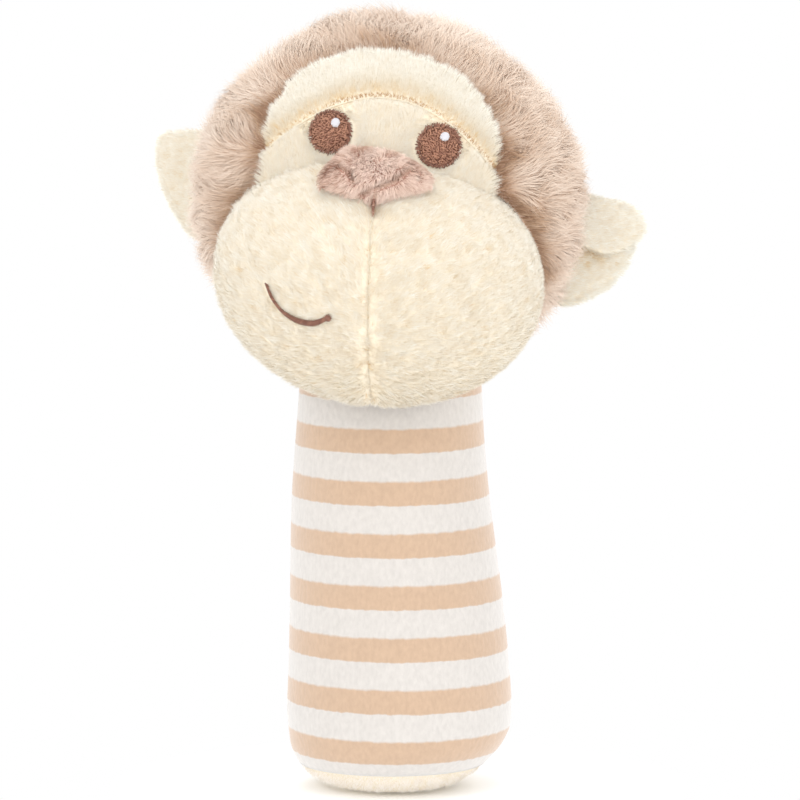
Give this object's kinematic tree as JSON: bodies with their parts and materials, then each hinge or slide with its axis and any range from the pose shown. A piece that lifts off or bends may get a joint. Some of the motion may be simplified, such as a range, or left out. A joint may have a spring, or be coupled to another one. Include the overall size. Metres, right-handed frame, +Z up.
{
  "type": "plush monkey rattle",
  "caption": "Soft stick rattle: a stuffed striped handle under a stuffed round monkey head with a cream muzzle, soft ears and a rattle capsule inside.",
  "frame": {"origin": "middle of the flat base that the rattle stands on", "axes": "+Z up along the handle, the face looks along -Y, +X to the right as seen from the front"},
  "size_m": [0.0976, 0.078, 0.1486],
  "materials": {
    "striped_knit": "soft brushed knit with tan and off-white stripes",
    "cream_plush": "short cream plush",
    "brown_pile": "long soft brown pile",
    "nose_plush": "short mauve brown plush",
    "brown_thread": "satin stitched brown thread",
    "white_thread": "satin stitched white thread",
    "fibre_filling": "polyester fibre wadding",
    "case_plastic": "moulded polypropylene",
    "bead_plastic": "moulded plastic beads"
  },
  "bodies": {
    "handle": {"stem_sleeve": "striped_knit", "base_disc": "cream_plush", "stem_filling": "fibre_filling"},
    "neck": {"neck_filling": "fibre_filling"},
    "head": {"skull_left": "brown_pile", "skull_right": "brown_pile", "brow_panel": "cream_plush", "face_panel": "cream_plush", "muzzle_left": "cream_plush", "muzzle_right": "cream_plush", "nose": "nose_plush", "eye_left": "brown_thread", "eye_right": "brown_thread", "eye_left_highlight": "white_thread", "eye_right_highlight": "white_thread", "smile_stitch": "brown_thread", "head_filling": "fibre_filling", "rattle_case_lower": "case_plastic", "rattle_case_upper": "case_plastic"},
    "ear_left": {"ear_left_front": "cream_plush", "ear_left_back": "cream_plush"},
    "ear_right": {"ear_right_front": "cream_plush", "ear_right_back": "cream_plush"},
    "bead_1": {"rattle_bead_1": "bead_plastic"},
    "bead_2": {"rattle_bead_2": "bead_plastic"},
    "bead_3": {"rattle_bead_3": "bead_plastic"},
    "bead_4": {"rattle_bead_4": "bead_plastic"},
    "bead_5": {"rattle_bead_5": "bead_plastic"}
  },
  "joints": [
    {"name": "head_nod", "type": "hinge", "parent": "handle", "child": "neck", "pos_m": [-0.0018, 0, 0.0778], "axis": [1, 0, 0], "range_deg": [-10, 10], "stiffness_Nm_per_rad": 0.3},
    {"name": "head_tilt", "type": "hinge", "parent": "neck", "child": "head", "pos_m": [-0.0018, 0, 0.0778], "axis": [0, 1, 0], "range_deg": [-10, 10], "stiffness_Nm_per_rad": 0.3},
    {"name": "ear_left_fold", "type": "hinge", "parent": "head", "child": "ear_left", "pos_m": [-0.03918, 0.004, 0.11513], "axis": [0.0224, 0, 0.9997], "range_deg": [-25, 25], "stiffness_Nm_per_rad": 0.001},
    {"name": "ear_right_fold", "type": "hinge", "parent": "head", "child": "ear_right", "pos_m": [0.03341, 0.004, 0.10261], "axis": [0.3258, 0, 0.9454], "range_deg": [-25, 25], "stiffness_Nm_per_rad": 0.001},
    {"name": "rattle_bead_1_rise", "type": "slide", "parent": "head", "child": "bead_1", "axis": [0, 0, 1], "range_m": [0, 0.0175]},
    {"name": "rattle_bead_2_rise", "type": "slide", "parent": "head", "child": "bead_2", "axis": [0, 0, 1], "range_m": [0, 0.0175]},
    {"name": "rattle_bead_3_rise", "type": "slide", "parent": "head", "child": "bead_3", "axis": [0, 0, 1], "range_m": [0, 0.0175]},
    {"name": "rattle_bead_4_rise", "type": "slide", "parent": "head", "child": "bead_4", "axis": [0, 0, 1], "range_m": [0, 0.0175]},
    {"name": "rattle_bead_5_rise", "type": "slide", "parent": "head", "child": "bead_5", "axis": [0, 0, 1], "range_m": [0, 0.0175]}
  ]
}
